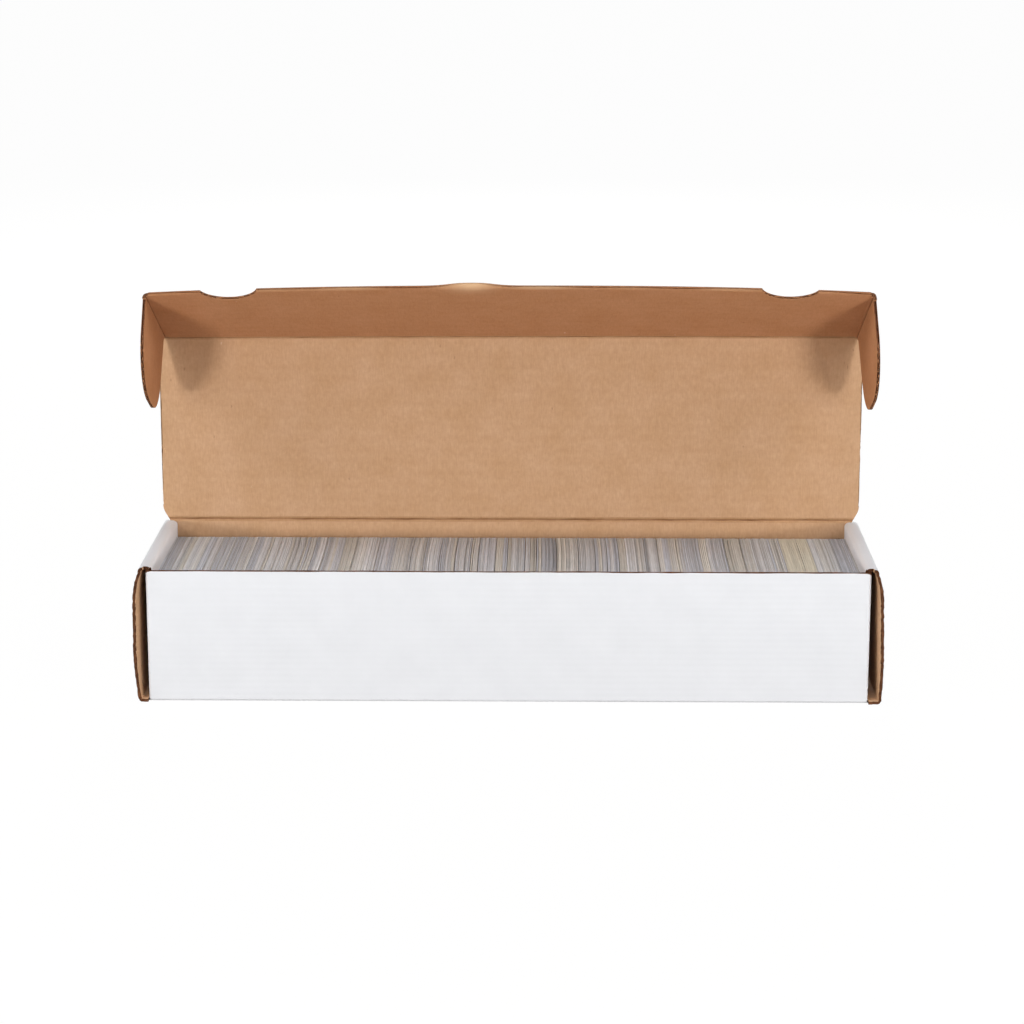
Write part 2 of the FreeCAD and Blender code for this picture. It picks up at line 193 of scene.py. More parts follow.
def kraft_paper(name, light, dark, fleck_dark, fleck_pale, score_and_shade=None, wear_and_light_colour=None):
    """Unbleached brown paper, rolled but not coated. The eye sees cloudy patches, long fibres,
    dark and pale flecks, and the flutes showing through as faint bands."""
    material = new_material(name)
    flat = add_node(material, "ShaderNodeUVMap", {}, uv_map="board").outputs["UV"]
    clouds = add_node(material, "ShaderNodeTexNoise",
                      {"Vector": flat, "Scale": per_mm(19), "Detail": 4, "Roughness": 0.6})
    colour = add_node(material, "ShaderNodeValToRGB", {"Fac": clouds.outputs["Fac"]},
                      stops=[(0.3, dark), (0.7, light)]).outputs["Color"]
    formation = add_node(material, "ShaderNodeTexNoise",
                         {"Vector": flat, "Scale": per_mm(2.6), "Detail": 3, "Roughness": 0.65})
    # Fibres are 2 to 6 mm long and finer than a hair; they are drawn 0.7 mm wide so that they show.
    strands = add_node(material, "ShaderNodeMapping",
                       {"Vector": flat, "Scale": (per_mm(0.7), per_mm(5), 1)})
    fibres = add_node(material, "ShaderNodeTexNoise",
                      {"Vector": strands.outputs["Vector"], "Scale": 1, "Detail": 2, "Distortion": 0.8})
    # The rolls press every second flute a little harder, so those show.
    bands = add_node(material, "ShaderNodeTexWave",
                     {"Vector": flat, "Scale": math.pi / (20 * FLUTE_PITCH), "Distortion": 0.6,
                      "Detail": 1, "Detail Scale": 0.3},
                     wave_type="BANDS", bands_direction="Y", wave_profile="SIN")
    for pattern, low, high, shade, share in ((formation, 0.25, 0.75, "#EAE4DE", 0.65),
                                             (fibres, 0.3, 0.7, "#EEE8E2", 0.6),
                                             (bands, 0, 1, "#FAF7F4", 0.3)):
        tone = add_node(material, "ShaderNodeValToRGB", {"Fac": pattern.outputs["Fac"]},
                        stops=[(low, shade), (high, "#FFFFFF")])
        colour = add_node(material, "ShaderNodeMix", {0: share, 6: colour, 7: tone.outputs["Color"]},
                          data_type="RGBA", blend_type="MULTIPLY").outputs[2]
    # Bark and unbeaten fibre: a torn fleck of about half a millimetre in every 9 to 16 mm.
    ruffle = add_node(material, "ShaderNodeTexNoise", {"Vector": flat, "Scale": per_mm(1.2), "Detail": 2})
    torn = add_node(material, "ShaderNodeVectorMath",
                    {0: ruffle.outputs["Color"], 1: (1.2 * MM, 1.2 * MM, 0), 2: flat},
                    operation="MULTIPLY_ADD")
    drawn = add_node(material, "ShaderNodeVectorMath", {0: torn.outputs[0], 1: (1, 0.4, 1)},
                     operation="MULTIPLY")
    for spacing, size, fleck in ((9, 0.05, fleck_dark), (16, 0.035, fleck_pale)):
        cells = add_node(material, "ShaderNodeTexVoronoi",
                         {"Vector": drawn.outputs[0], "Scale": per_mm(spacing), "Randomness": 1})
        spots = add_node(material, "ShaderNodeValToRGB", {"Fac": cells.outputs["Distance"]},
                         stops=[(size * 0.5, "#B0B0B0"), (size, "#000000")])
        colour = add_node(material, "ShaderNodeMix",
                          {0: spots.outputs["Color"], 6: colour, 7: hex_colour(fleck)},
                          data_type="RGBA").outputs[2]
    # Where the flap's edge is bruised and crushed it is paler: partly worn paper, partly painted light where
    # that edge turns towards the lamps.
    if wear_and_light_colour:
        wear_and_light_share = add_node(material, "ShaderNodeAttribute", {}, attribute_name="wear_and_light").outputs["Fac"]
        colour = add_node(material, "ShaderNodeMix", {0: wear_and_light_share, 6: colour, 7: hex_colour(wear_and_light_colour)},
                          data_type="RGBA").outputs[2]
    if score_and_shade:
        # The score wanders by half a millimetre, is darkest within 0.15 mm and fades by 0.8 mm. Its dark line
        # is partly crushed paper and partly painted shade in the crease.
        across = add_node(material, "ShaderNodeSeparateXYZ", {0: flat}).outputs["Y"]
        wander = add_node(material, "ShaderNodeTexNoise", {"Vector": flat, "Scale": per_mm(16), "Detail": 2})
        shifted = add_node(material, "ShaderNodeMath",
                           {0: wander.outputs["Fac"], 1: 0.9 * MM, 2: -0.45 * MM}, operation="MULTIPLY_ADD")
        off = add_node(material, "ShaderNodeMath", {0: across, 1: shifted.outputs[0]}, operation="ADD")
        away = add_node(material, "ShaderNodeMath", {0: off.outputs[0]}, operation="ABSOLUTE")
        near = add_node(material, "ShaderNodeMapRange",
                        {"Value": away.outputs[0], "From Min": 0.15 * MM, "From Max": 0.8 * MM,
                         "To Min": 0.85, "To Max": 0.0})
        broken = add_node(material, "ShaderNodeTexNoise", {"Vector": flat, "Scale": per_mm(24), "Detail": 3})
        crushed = add_node(material, "ShaderNodeMapRange",
                           {"Value": broken.outputs["Fac"], "From Min": 0.38, "From Max": 0.62,
                            "To Min": 0.45, "To Max": 1.0})
        near = add_node(material, "ShaderNodeMath", {0: near.outputs[0], 1: crushed.outputs[0]},
                        operation="MULTIPLY")
        colour = add_node(material, "ShaderNodeMix",
                          {0: near.outputs[0], 6: colour, 7: hex_colour(score_and_shade)},
                          data_type="RGBA").outputs[2]
    rough = add_node(material, "ShaderNodeMapRange",
                     {"Value": formation.outputs["Fac"], "To Min": 0.74, "To Max": 0.92})
    relief = add_node(material, "ShaderNodeMath",
                      {0: bands.outputs["Fac"], 1: 0.2, 2: formation.outputs["Fac"]},
                      operation="MULTIPLY_ADD")
    bump = add_node(material, "ShaderNodeBump",
                    {"Height": relief.outputs[0], "Strength": 0.3, "Distance": 0.05 * MM})
    surface = add_node(material, "ShaderNodeBsdfPrincipled",
                       {"Base Color": colour, "Roughness": rough.outputs[0], "Normal": bump.outputs["Normal"],
                        "IOR": 1.5, "Specular IOR Level": 0.25})
    add_node(material, "ShaderNodeOutputMaterial", {"Surface": surface.outputs["BSDF"]})
    return material


def clay_coated_white_paper(name, light, dark):
    """Bleached liner with a thin clay coat, smoothed by rolling. The eye sees a cool, even, matt white
    with very faint clouds and the flutes as soft ripples in the light."""
    material = new_material(name)
    flat = add_node(material, "ShaderNodeUVMap", {}, uv_map="board").outputs["UV"]
    clouds = add_node(material, "ShaderNodeTexNoise",
                      {"Vector": flat, "Scale": per_mm(22), "Detail": 5, "Roughness": 0.6})
    colour = add_node(material, "ShaderNodeValToRGB", {"Fac": clouds.outputs["Fac"]},
                      stops=[(0.3, dark), (0.68, light)]).outputs["Color"]
    cells = add_node(material, "ShaderNodeTexVoronoi", {"Vector": flat, "Scale": per_mm(19), "Randomness": 1})
    spots = add_node(material, "ShaderNodeValToRGB", {"Fac": cells.outputs["Distance"]},
                     stops=[(0.01, "#585858"), (0.025, "#000000")])
    colour = add_node(material, "ShaderNodeMix",
                      {0: spots.outputs["Color"], 6: colour, 7: hex_colour("#B9A898")},
                      data_type="RGBA").outputs[2]
    bands = add_node(material, "ShaderNodeTexWave",
                     {"Vector": flat, "Scale": math.pi / (10 * FLUTE_PITCH), "Distortion": 0.8,
                      "Detail": 1, "Detail Scale": 0.3},
                     wave_type="BANDS", bands_direction="Y", wave_profile="SIN")
    tooth = add_node(material, "ShaderNodeTexNoise", {"Vector": flat, "Scale": per_mm(0.9), "Detail": 2})
    rough = add_node(material, "ShaderNodeMapRange",
                     {"Value": clouds.outputs["Fac"], "To Min": 0.5, "To Max": 0.66})
    relief = add_node(material, "ShaderNodeMath", {0: bands.outputs["Fac"], 1: 1.4, 2: tooth.outputs["Fac"]},
                      operation="MULTIPLY_ADD")
    bump = add_node(material, "ShaderNodeBump",
                    {"Height": relief.outputs[0], "Strength": 0.25, "Distance": 0.05 * MM})
    surface = add_node(material, "ShaderNodeBsdfPrincipled",
                       {"Base Color": colour, "Roughness": rough.outputs[0], "Normal": bump.outputs["Normal"],
                        "IOR": 1.5, "Specular IOR Level": 0.3})
    add_node(material, "ShaderNodeOutputMaterial", {"Surface": surface.outputs["BSDF"]})
    return material


def die_cut_board_edge(name, light, dark):
    """Where the die has cut through liners and flutes. The eye sees dark, fuzzy brown paper,
    crushed unevenly along the cut, with a few pale torn fibres."""
    material = new_material(name)
    place = add_node(material, "ShaderNodeTexCoord", {}).outputs["Object"]
    crush = add_node(material, "ShaderNodeTexNoise",
                     {"Vector": place, "Scale": per_mm(4), "Detail": 4, "Roughness": 0.7})
    colour = add_node(material, "ShaderNodeValToRGB", {"Fac": crush.outputs["Fac"]},
                      stops=[(0.35, dark), (0.68, light)]).outputs["Color"]
    fuzz = add_node(material, "ShaderNodeTexNoise", {"Vector": place, "Scale": per_mm(0.8), "Detail": 2})
    torn = add_node(material, "ShaderNodeValToRGB", {"Fac": fuzz.outputs["Fac"]},
                    stops=[(0.68, "#000000"), (0.8, "#909090")])
    colour = add_node(material, "ShaderNodeMix",
                      {0: torn.outputs["Color"], 6: colour, 7: hex_colour("#D9C4AC")},
                      data_type="RGBA").outputs[2]
    bump = add_node(material, "ShaderNodeBump",
                    {"Height": fuzz.outputs["Fac"], "Strength": 0.6, "Distance": 0.15 * MM})
    surface = add_node(material, "ShaderNodeBsdfPrincipled",
                       {"Base Color": colour, "Roughness": 0.95, "Normal": bump.outputs["Normal"],
                        "IOR": 1.5, "Specular IOR Level": 0.15})
    add_node(material, "ShaderNodeOutputMaterial", {"Surface": surface.outputs["BSDF"]})
    return material


def cut_card_edges(name):
    """Guillotined edges of coated card. Each card keeps its own tint, and the eye sees
    the grey core with faint lines along it."""
    material = new_material(name)
    tint = add_node(material, "ShaderNodeAttribute", {}, attribute_name="edge_tint").outputs["Color"]
    place = add_node(material, "ShaderNodeTexCoord", {}).outputs["Object"]
    drawn = add_node(material, "ShaderNodeMapping",
                     {"Vector": place, "Scale": (per_mm(0.5), per_mm(14), per_mm(3))})
    wear = add_node(material, "ShaderNodeTexNoise",
                    {"Vector": drawn.outputs["Vector"], "Scale": 1, "Detail": 3})
    tone = add_node(material, "ShaderNodeValToRGB", {"Fac": wear.outputs["Fac"]},
                    stops=[(0.3, "#D8D6D4"), (0.7, "#FFFFFF")])
    colour = add_node(material, "ShaderNodeMix", {0: 0.7, 6: tint, 7: tone.outputs["Color"]},
                      data_type="RGBA", blend_type="MULTIPLY").outputs[2]
    surface = add_node(material, "ShaderNodeBsdfPrincipled",
                       {"Base Color": colour, "Roughness": 0.7, "IOR": 1.5, "Specular IOR Level": 0.25})
    add_node(material, "ShaderNodeOutputMaterial", {"Surface": surface.outputs["BSDF"]})
    return material


def varnished_card_face(name, border, middle):
    """Coated card with a dull varnish. The eye sees a pale border round a plain tinted field,
    with a soft sheen."""
    material = new_material(name)
    flat = add_node(material, "ShaderNodeUVMap", {}, uv_map="board").outputs["UV"]
    parts = add_node(material, "ShaderNodeSeparateXYZ", {0: flat})
    rims = []
    for axis, half in zip("XY", CARD_FIELD):
        away = add_node(material, "ShaderNodeMath", {0: parts.outputs[axis]}, operation="ABSOLUTE")
        rims.append(add_node(material, "ShaderNodeMath", {0: away.outputs[0], 1: half},
                             operation="GREATER_THAN"))
    rim = add_node(material, "ShaderNodeMath", {0: rims[0].outputs[0], 1: rims[1].outputs[0]},
                   operation="MAXIMUM")
    clouds = add_node(material, "ShaderNodeTexNoise", {"Vector": flat, "Scale": per_mm(9), "Detail": 3})
    field = add_node(material, "ShaderNodeMix",
                     {0: clouds.outputs["Fac"], 6: hex_colour(middle[0]), 7: hex_colour(middle[1])},
                     data_type="RGBA")
    colour = add_node(material, "ShaderNodeMix",
                      {0: rim.outputs[0], 6: field.outputs[2], 7: hex_colour(border)}, data_type="RGBA")
    surface = add_node(material, "ShaderNodeBsdfPrincipled",
                       {"Base Color": colour.outputs[2], "Roughness": 0.38, "IOR": 1.5})
    add_node(material, "ShaderNodeOutputMaterial", {"Surface": surface.outputs["BSDF"]})
    return material


WHITE = clay_coated_white_paper("clay_coated_white_liner", "#E1E3E7", "#DDDFE3")
FLECKS = ("#87593A", "#EFDFC8")  # dark bark and pale unbeaten fibre
KRAFT = kraft_paper("kraft_liner", "#D3AC89", "#CBA37D", *FLECKS)
# The flap and the ears take a darker, redder copy of the kraft liner: painted shade, as they face down and
# away from the lamps.
KRAFT_WITH_PAINTED_SHADE = kraft_paper("kraft_liner_with_painted_shade", "#C18C65", "#B9835A", *FLECKS, wear_and_light_colour="#CDA680")
# The crease strips' kraft is a little darker than their panels', with a dark score line along the fold:
# partly crushed paper, partly painted shade in the crease.
CREASE_KRAFT_WITH_PAINTED_SHADE = kraft_paper("crease_kraft_liner_with_painted_shade", "#CBA37D", "#BD926A", *FLECKS, score_and_shade="#6C4324")
EAR_CREASE_KRAFT_WITH_PAINTED_SHADE = kraft_paper("ear_crease_kraft_liner_with_painted_shade", "#C18C65", "#B9835A", *FLECKS, score_and_shade="#5A351B")
EDGE = die_cut_board_edge("die_cut_board_edge", "#7A5036", "#4A2E1F")
TORN_EDGE = die_cut_board_edge("torn_board_edge", "#C9A17B", "#5A3826")
CARD_EDGES = cut_card_edges("cut_card_edges")
CARD_FACE = varnished_card_face("varnished_card_face", "#E6E3DC", ("#6F7C8C", "#8792A0"))

# A board's finishes, in the order of these sides of it.
OUTSIDE, INSIDE, CUT, TORN = range(4)
BOARD_FINISH = (WHITE, KRAFT, EDGE)
# The flap's and ears' finishes use that darker kraft copy, painted shade, with a paler torn edge at the
# flap's bruise.
PAINTED_SHADE_FINISH = (WHITE, KRAFT_WITH_PAINTED_SHADE, EDGE, TORN_EDGE)


# Modelling


def select_only(*pieces):
    bpy.ops.object.select_all(action="DESELECT")
    for piece in pieces:
        piece.select_set(True)
    bpy.context.view_layer.objects.active = pieces[0]


def start_piece(name, size, place):
    """Gives the primitive just added its name, size and place, kept in its mesh."""
    piece = bpy.context.active_object
    piece.name = piece.data.name = name
    piece.scale = size
    piece.location = place
    bpy.ops.object.transform_apply(location=True, rotation=True, scale=True)
    return piece


def add_box(name, low, high):
    bpy.ops.object.select_all(action="DESELECT")
    bpy.ops.mesh.primitive_cube_add(size=1)
    return start_piece(name, Vector(high) - Vector(low), (Vector(low) + Vector(high)) / 2)


def add_sheet(name, width, depth, columns, rows, place=(0, 0, 0)):
    bpy.ops.object.select_all(action="DESELECT")
    bpy.ops.mesh.primitive_grid_add(size=1, x_subdivisions=columns, y_subdivisions=rows)
    return start_piece(name, (width, depth, 1), place)


def edit(piece, kind="FACE", wanted=lambda middle, way: True):
    """Enters edit mode with all faces selected, or with the faces or edges whose middle and way fit.
    A face's way is its normal, an edge's its direction."""
    select_only(piece)
    bpy.ops.object.mode_set(mode="EDIT")
    bpy.ops.mesh.select_mode(type=kind)
    bpy.ops.mesh.select_all(action="DESELECT")
    bpy.ops.object.mode_set(mode="OBJECT")
    mesh = piece.data
    if kind == "FACE":
        for face in mesh.polygons:
            face.select = wanted(face.center, face.normal)
    else:
        for edge in mesh.edges:
            a, b = (mesh.vertices[i].co for i in edge.vertices)
            edge.select = wanted((a + b) / 2, (b - a).normalized())
    bpy.ops.object.mode_set(mode="EDIT")


def leave():
    bpy.ops.object.mode_set(mode="OBJECT")


def cut_across(place, way):
    """Cuts new edges straight through the piece that is in edit mode."""
    bpy.ops.mesh.select_all(action="SELECT")
    bpy.ops.mesh.bisect(plane_co=place, plane_no=way)


def face_outwards(piece):
    edit(piece)
    bpy.ops.mesh.normals_make_consistent(inside=False)
    leave()


def apply_modifier(piece, kind, **settings):
    select_only(piece)
    modifier = piece.modifiers.new(kind.lower(), kind)
    for name, value in settings.items():
        setattr(modifier, name, value)
    bpy.ops.object.modifier_apply(modifier=modifier.name)


def join(*pieces):
    select_only(*pieces)
    bpy.ops.object.join()
    return pieces[0]


def merged_copy(node, name):
    """A copy of a CAD node with its loose triangles merged into whole faces."""
    piece = bpy.data.objects.new(name, frame["nodes"][node].data.copy())
    bpy.context.scene.collection.objects.link(piece)
    piece.data.materials.clear()
    piece.data.name = name
    select_only(piece)
    bpy.ops.object.mode_set(mode="EDIT")
    bpy.ops.mesh.select_all(action="SELECT")
    bpy.ops.mesh.remove_doubles(threshold=0.001 * MM)
    bpy.ops.mesh.dissolve_limited(angle_limit=math.radians(0.5))
    leave()
    return piece


def sink_cut_edge(piece, wanted, inward):
    """Leaves the two liners standing at a finished cut edge, with the fluted paper lying back between."""
    edit(piece, "FACE", wanted)
    bpy.ops.mesh.inset(thickness=LINER, use_even_offset=False)
    bpy.ops.transform.translate(value=Vector(inward) * CUT_DEPTH)
    leave()


def lay_flat(piece, across, along):
    """Gives the board its flat pattern in metres: across the sheet along the flutes, then across them."""
    pattern = piece.data.uv_layers.get("board") or piece.data.uv_layers.new(name="board")
    for loop in piece.data.loops:
        point = piece.data.vertices[loop.vertex_index].co
        pattern.data[loop.index].uv = (point.dot(across), point.dot(along))


def smooth(piece):
    """Shades bends smooth and leaves edges sharp."""
    select_only(piece)
    bpy.ops.object.shade_smooth_by_angle(angle=math.radians(35))


def finish_board(piece, outward, folded=0.35, materials=BOARD_FINISH, middle=None):
    """White outside, brown inside, cut edges between, told apart by the way each face looks.
    Where the liners are separate, on both sides of the middle, their hidden sides are brown too."""
    piece.data.materials.clear()
    for material in materials:
        piece.data.materials.append(material)
    for face in piece.data.polygons:
        facing = face.normal.dot(outward)
        face.material_index = OUTSIDE if facing > folded else INSIDE if facing < -folded else CUT
        if middle and (face.center - middle).dot(outward) * facing < 0:
            face.material_index = INSIDE
    smooth(piece)


def hand_over(piece, body, node):
    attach(piece, body)
    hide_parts(node)


def hand_over_crease(piece, node):
    """Bakes the crease's place into its mesh and hides its CAD part; the crease is attached to no body."""
    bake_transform(piece)
    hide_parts(node)


# Walls and base


def long_wall(name, node, outward, cut_top):
    """A folded wall: rounded where the board turns, and cut straight along its top if it ends there."""
    low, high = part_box(node)
    wall = add_box(name, low, high)
    outside = high.y if outward.y > 0 else low.y

    def outer_fold(middle, way):
        at_end = abs(abs(middle.x) - high.x) < CLOSE
        at_foot = middle.z < low.z + CLOSE
        return abs(middle.y - outside) < CLOSE and (at_end or at_foot)

    def outer_top(middle, way):
        return middle.z > high.z - CLOSE and abs(middle.y - outside) < CLOSE

    edit(wall, "EDGE", outer_fold)
    bpy.ops.mesh.bevel(offset=FOLD_RADIUS, segments=FOLD_STEPS, affect="EDGES")
    leave()
    finish_board(wall, outward)
    if cut_top:
        edit(wall, "EDGE", outer_top)
        bpy.ops.mesh.bevel(offset=LINER, segments=1, affect="EDGES", material=CUT)
        leave()
        sink_cut_edge(wall, lambda middle, normal: normal.z > 0.9 and middle.z > high.z - CLOSE, -UP)
    columns = 40
    cuts = [low.x + (high.x - low.x) * cut / columns for cut in range(1, columns)]
    cuts += [way * (high.x - WALL_CORNER * share) for way in (-1, 1) for share in (0.35, 0.65, 1)]
    edit(wall)
    for cut in cuts:
        cut_across((cut, 0, 0), RIGHT)
    leave()
    lay_flat(wall, RIGHT, UP)
    if cut_top:
        for vertex in wall.data.vertices:
            if vertex.co.z > high.z - CUT_DEPTH - LINER:
                vertex.co.z -= draws.uniform(0, WALL_RAGGED)
                vertex.co.z -= max(0, abs(vertex.co.x) - high.x + WALL_CORNER) ** 2 / (1.6 * WALL_CORNER)
    smooth(wall)
    hand_over(wall, "tray", node)


long_wall("front_wall_board", "front_wall", -BACK, cut_top=True)
long_wall("back_wall_board", "back_wall", BACK, cut_top=False)

base = merged_copy("base_panel", "base_board")
lay_flat(base, RIGHT, BACK)
finish_board(base, -UP)
hand_over(base, "tray", "base_panel")

for place in ("front_left", "front_right", "back_left", "back_right"):
    node = f"{place}_corner_flap"
    side = SIDES[place.split("_")[1]]
    corner = merged_copy(node, f"{place}_corner_flap_board")
    lay_flat(corner, BACK, UP)
    finish_board(corner, RIGHT * side)
    hand_over(corner, "tray", node)


# Ends: an outer panel, rolled over the top and down inside


def bulge_at(z):
    """How much of its full bow an end panel has at that height: fuller above the middle than below."""
    share = max(0, z) / ROLL_SPRING
    return 1 - abs(2 * share - 1) ** (2 if share < 0.5 else 5)


def end_outer(name, side):
    """The end panel folds up from the base. It stands bowed, because the roll-over pushes it out,
    its upright margins curl out, and their edges were cut ragged."""
    low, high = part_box(f"{name}_end_outer")
    inner = min(abs(low.x), abs(high.x))
    bow = max(abs(low.x), abs(high.x)) - inner - BOARD - END_SLACK
    depth = high.y - low.y
    middle, turn = BOARD / 2, 0.75 * BOARD
    foot = inner + middle + END_FLARE[name]
    rows = 40
    profile = [(inner, middle)]
    for step in range(FOLD_STEPS + 1):
        angle = math.pi / 2 * step / FOLD_STEPS
        profile.append((foot - turn + turn * math.sin(angle), middle + turn - turn * math.cos(angle)))
    for step in range(1, rows + 1):
        z = middle + turn + (ROLL_SPRING - middle - turn) * step / rows
        share = z / ROLL_SPRING
        flare = END_FLARE[name] * (1 - share) * (1 - 2 * share)
        profile.append((inner + middle + flare + bow * bulge_at(z), z))
    panel = add_sheet(f"{name}_end_outer_board", 1, depth, len(profile) - 1, 30)
    for vertex in panel.data.vertices:
        x, z = profile[round((vertex.co.x + 0.5) * (len(profile) - 1))]
        vertex.co = (side * x, vertex.co.y, z)
    apply_modifier(panel, "SOLIDIFY", thickness=BOARD, offset=0)
    face_outwards(panel)
    lay_flat(panel, UP, BACK)
    finish_board(panel, (RIGHT * side - UP).normalized())
    for way in (-1, 1):
        sink_cut_edge(panel, lambda middle, normal: normal.y * way > 0.9, -BACK * way)
    for vertex in panel.data.vertices:
        margin = max(0, abs(vertex.co.y) - depth / 2 + END_CURL_WIDTH) / END_CURL_WIDTH
        vertex.co.x += side * END_CURL * bulge_at(vertex.co.z) * margin ** 2
        if abs(vertex.co.y) > depth / 2 - AT_CUT:
            vertex.co.y -= math.copysign(draws.uniform(0, END_RAGGED), vertex.co.y)
            vertex.co.x += draws.uniform(-END_WAVER, END_WAVER)
    # The fold at the foot also closes the slots beside the long walls.
    feet = []
    for wall, end in (("front_wall", -1), ("back_wall", 1)):
        base_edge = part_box("base_panel")[0 if end < 0 else 1].y
        xs = sorted((side * (inner + WALL_GAP / 2), side * (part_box(wall)[1].x + WALL_GAP)))
        ys = sorted((end * depth / 2, base_edge))
        piece = add_box(f"{name}_foot", (xs[0], ys[0], 0), (xs[1], ys[1], BOARD))
        lay_flat(piece, RIGHT, BACK)
        finish_board(piece, -UP)
        feet.append(piece)
    panel = join(panel, *feet)
    smooth(panel)
    hand_over(panel, "tray", f"{name}_end_outer")


def end_rollover(name, side):
    """The board bent over the end in one soft roll. Its ends are cut, and its inner half stops
    at the long walls."""
    low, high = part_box(f"{name}_end_rollover")
    inner_low, inner_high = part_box(f"{name}_end_inner")
    inner, outer = sorted((abs(low.x), abs(high.x)))
    half, centre = (outer - inner - BOARD) / 2, (inner + outer) / 2
    crown = high.z - BOARD / 2 - ROLL_SPRING
    wall_end = front_high.x + WALL_GAP
    over_wall = front_high.z + BOARD / 2 + WALL_GAP
    roll = add_sheet(f"{name}_end_rollover_board", 1, 1, 36, 24)
    for vertex in roll.data.vertices:
        angle, along = math.pi * (vertex.co.x + 0.5), vertex.co.y + 0.5
        x = centre + half * math.copysign(abs(math.cos(angle)) ** ROLL_FULLNESS, math.cos(angle))
        z = ROLL_SPRING + crown * max(0, math.sin(angle)) ** ROLL_FULLNESS
        start, stop = inner_low.y, inner_high.y
        if x > wall_end + BOARD / 2:
            start, stop = low.y, high.y
        elif z > over_wall:
            start = front_low.y + WALL_GAP / 2
        skew = ROLL_SKEW * along * (1 - math.cos(angle)) / 2
        vertex.co = (side * (x - skew), start + (stop - start) * along, z)
    apply_modifier(roll, "SOLIDIFY", thickness=BOARD, offset=0)
    face_outwards(roll)
    lay_flat(roll, RIGHT, BACK)
    finish_board(roll, UP)
    axis = Vector((side * centre, 0, ROLL_SPRING - 1 * MM))
    for face in roll.data.polygons:
        away = face.center - axis
        facing = face.normal.x * away.x + face.normal.z * away.z
        face.material_index = CUT if abs(face.normal.y) > 0.5 else OUTSIDE if facing > 0 else INSIDE
    for way in (-1, 1):
        sink_cut_edge(roll, lambda middle, normal: normal.y * way > 0.9, -BACK * way)
    smooth(roll)
    hand_over(roll, "tray", f"{name}_end_rollover")


def end_inner(name, side):
    """The inner panel shows its white face to the cards; its tabs lock in the base."""
    low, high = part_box(f"{name}_end_inner")
    panel = merged_copy(f"{name}_end_inner", f"{name}_end_inner_board")
    edit(panel)
    bpy.ops.mesh.bisect(plane_co=(0, 0, ROLL_SPRING), plane_no=(0, 0, 1), clear_outer=True, use_fill=True)
    leave()
    for vertex in panel.data.vertices:
        along = (vertex.co.y - low.y) / (2 * high.y)
        vertex.co.x -= side * ROLL_SKEW * along * max(0, vertex.co.z) / ROLL_SPRING
    lay_flat(panel, UP, BACK)
    finish_board(panel, -RIGHT * side)
    hand_over(panel, "tray", f"{name}_end_inner")


for name, side in SIDES.items():
    end_outer(name, side)
    end_rollover(name, side)
    end_inner(name, side)


# Lid, front flap and ears: board with its real flutes, cut to each panel's outline


def fluted_board(name, width, depth, columns, rows=12):
    """Single-wall board lying flat round the origin, its flutes along X, brown side up."""
    flutes = math.ceil(depth / FLUTE_PITCH) + 1
    wave = add_sheet(name, width, FLUTE_PITCH, columns, FLUTE_STEPS)
    rise = (BOARD - FLUTED_PAPER) / 2 - LINER
    # The waves stop a hair short of the liners.
    for vertex in wave.data.vertices:
        vertex.co.z = 0.98 * rise * math.sin(2 * math.pi * vertex.co.y / FLUTE_PITCH)
    apply_modifier(wave, "ARRAY", count=flutes, use_relative_offset=False, use_constant_offset=True,
                   constant_offset_displace=(0, FLUTE_PITCH, 0), use_merge_vertices=True,
                   merge_threshold=CLOSE)
    apply_modifier(wave, "SOLIDIFY", thickness=FLUTED_PAPER, offset=0)
    edit(wave)
    bpy.ops.transform.translate(value=(0, -FLUTE_PITCH * (flutes - 1) / 2, 0))
    leave()
    liners = []
    for level in (-1, 1):
        liner = add_sheet(name + "_liner", width, depth, columns, rows, (0, 0, level * (BOARD - LINER) / 2))
        apply_modifier(liner, "SOLIDIFY", thickness=LINER, offset=0)
        liners.append(liner)
    return join(wave, *liners)


def cut_to_outline(piece, node, through, rounded=None):
    """Cuts the board to a panel's own outline, as the die does, straight through its thickness."""
    die = merged_copy(node, "die")
    if rounded:
        for vertex in die.data.vertices:
            if abs(vertex.co.x) < lid_half - 1 * MM:
                vertex.co.x = math.copysign(lid_foot, vertex.co.x)
            elif vertex.co.z < hinge.z + LID_CORNER_ZONE[1]:
                vertex.co.z -= LID_CORNER_DROP
        edit(die, "EDGE", lambda middle, way: abs(way.dot(through)) > 0.99 and rounded(middle))
        bpy.ops.mesh.bevel(offset=LID_CORNER, segments=4, affect="EDGES")
        leave()
    middle = sum((vertex.co for vertex in die.data.vertices), Vector()) / len(die.data.vertices)
    for vertex in die.data.vertices:
        vertex.co += through * math.copysign(BOARD, (vertex.co - middle).dot(through))
    apply_modifier(piece, "BOOLEAN", object=die, operation="INTERSECT", solver="EXACT")
    bpy.data.objects.remove(die)


def place_board(piece, middle, flutes_way, across_way):
    """Turns a flat board so that its flutes run flutes_way and its brown side faces their cross product."""
    turn = Matrix((flutes_way, across_way, flutes_way.cross(across_way))).transposed().to_4x4()
    piece.matrix_world = Matrix.Translation(middle) @ turn
    select_only(piece)
    bpy.ops.object.transform_apply(location=True, rotation=True, scale=True)


def fold_rise(x, up=1):
    """How far the lid's front fold stands up there, and the lid at a share of its height."""
    share = min(1, abs(x) / lid_half)
    return (FOLD_RISE * up * (1 - share ** 2) + FOLD_TWIST * x / lid_half) * up


def flap_rise(x):
    """How far the flap's free edge stands up there."""
    share = min(1, abs(x) / lid_half)
    return FLAP_LIFT + FLAP_RISE * (1 - share ** 2.5) + FLAP_TWIST * x / lid_half


def flap_flare(out):
    """How far an ear crease has drifted outwards, at a share of the way to the free edge."""
    return FLAP_FLARE[0] * (1 - out) + FLAP_FLARE[1] * out


